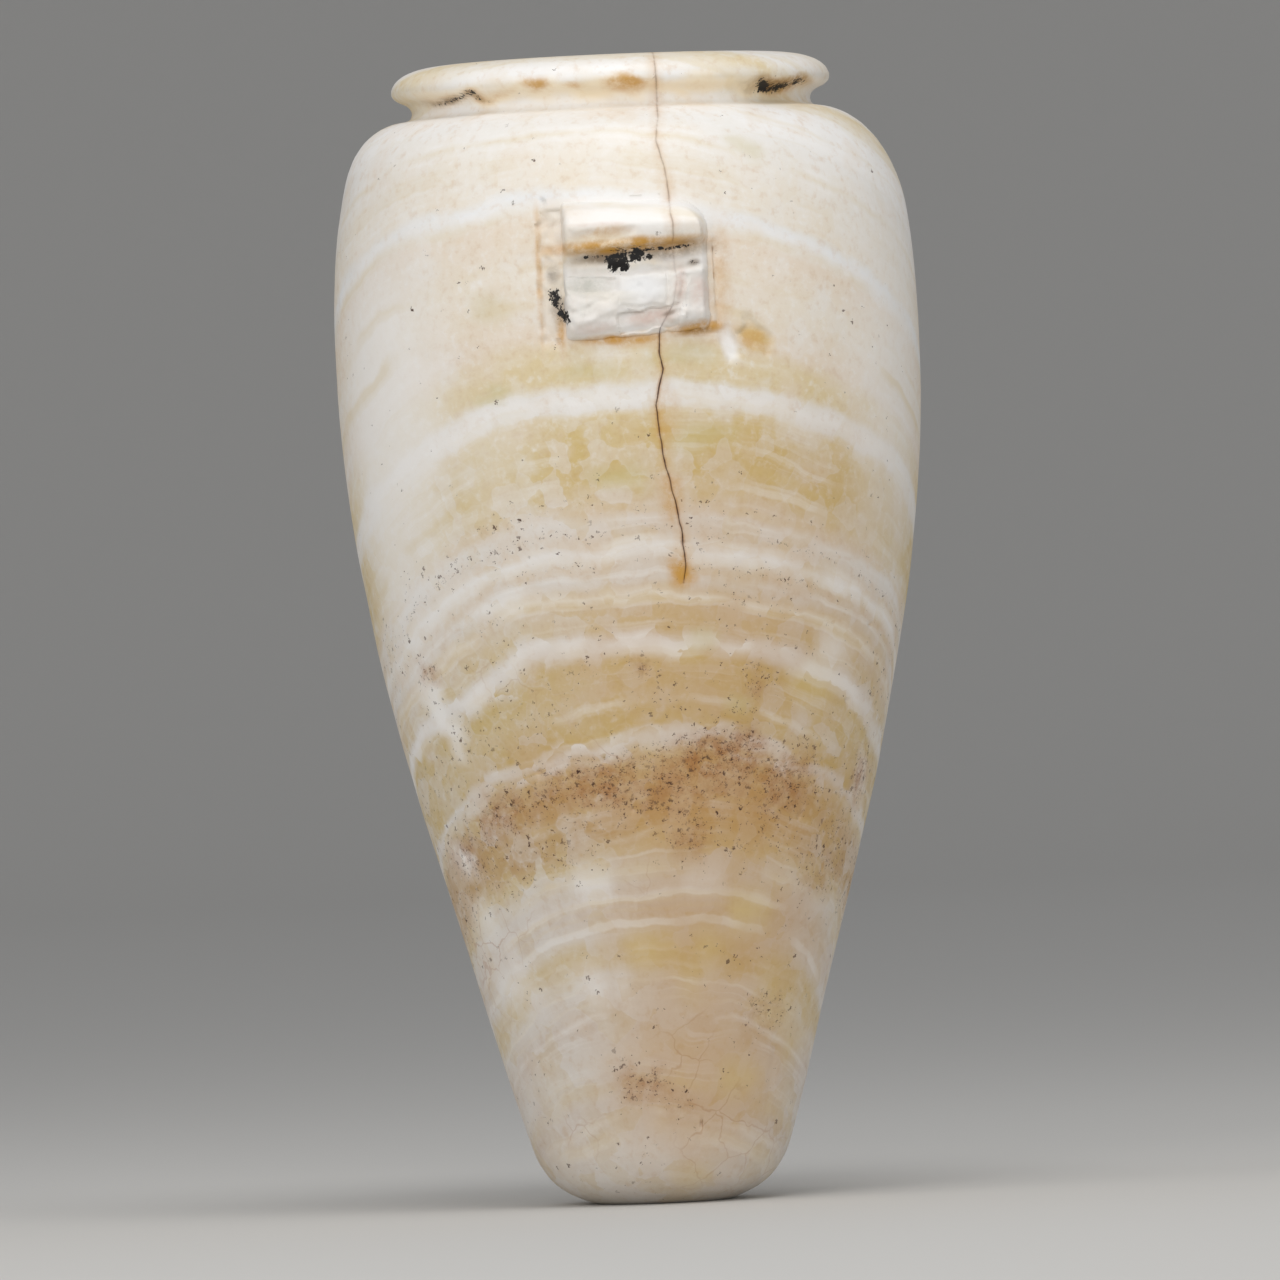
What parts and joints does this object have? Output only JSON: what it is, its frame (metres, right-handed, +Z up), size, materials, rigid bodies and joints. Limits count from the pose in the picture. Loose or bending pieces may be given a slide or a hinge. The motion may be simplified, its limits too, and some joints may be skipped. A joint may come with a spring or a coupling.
{
  "type": "lug-handled stone jar",
  "caption": "Tall hollow storage jar ground from banded stone, with a rolled rim, a small flat foot and a pierced lug on each side of the shoulder, one of them broken.",
  "frame": {"origin": "centre of the small flat the jar stands on, on the axis it was turned about", "axes": "+Z up along the jar's axis; the broken lug is towards -Y and the whole lug towards +Y, with the cord holes along X"},
  "size_m": [0.1746, 0.1917, 0.34],
  "materials": {
    "stone": "satin"
  },
  "bodies": {
    "root": {"jar": "stone"}
  },
  "joints": []
}
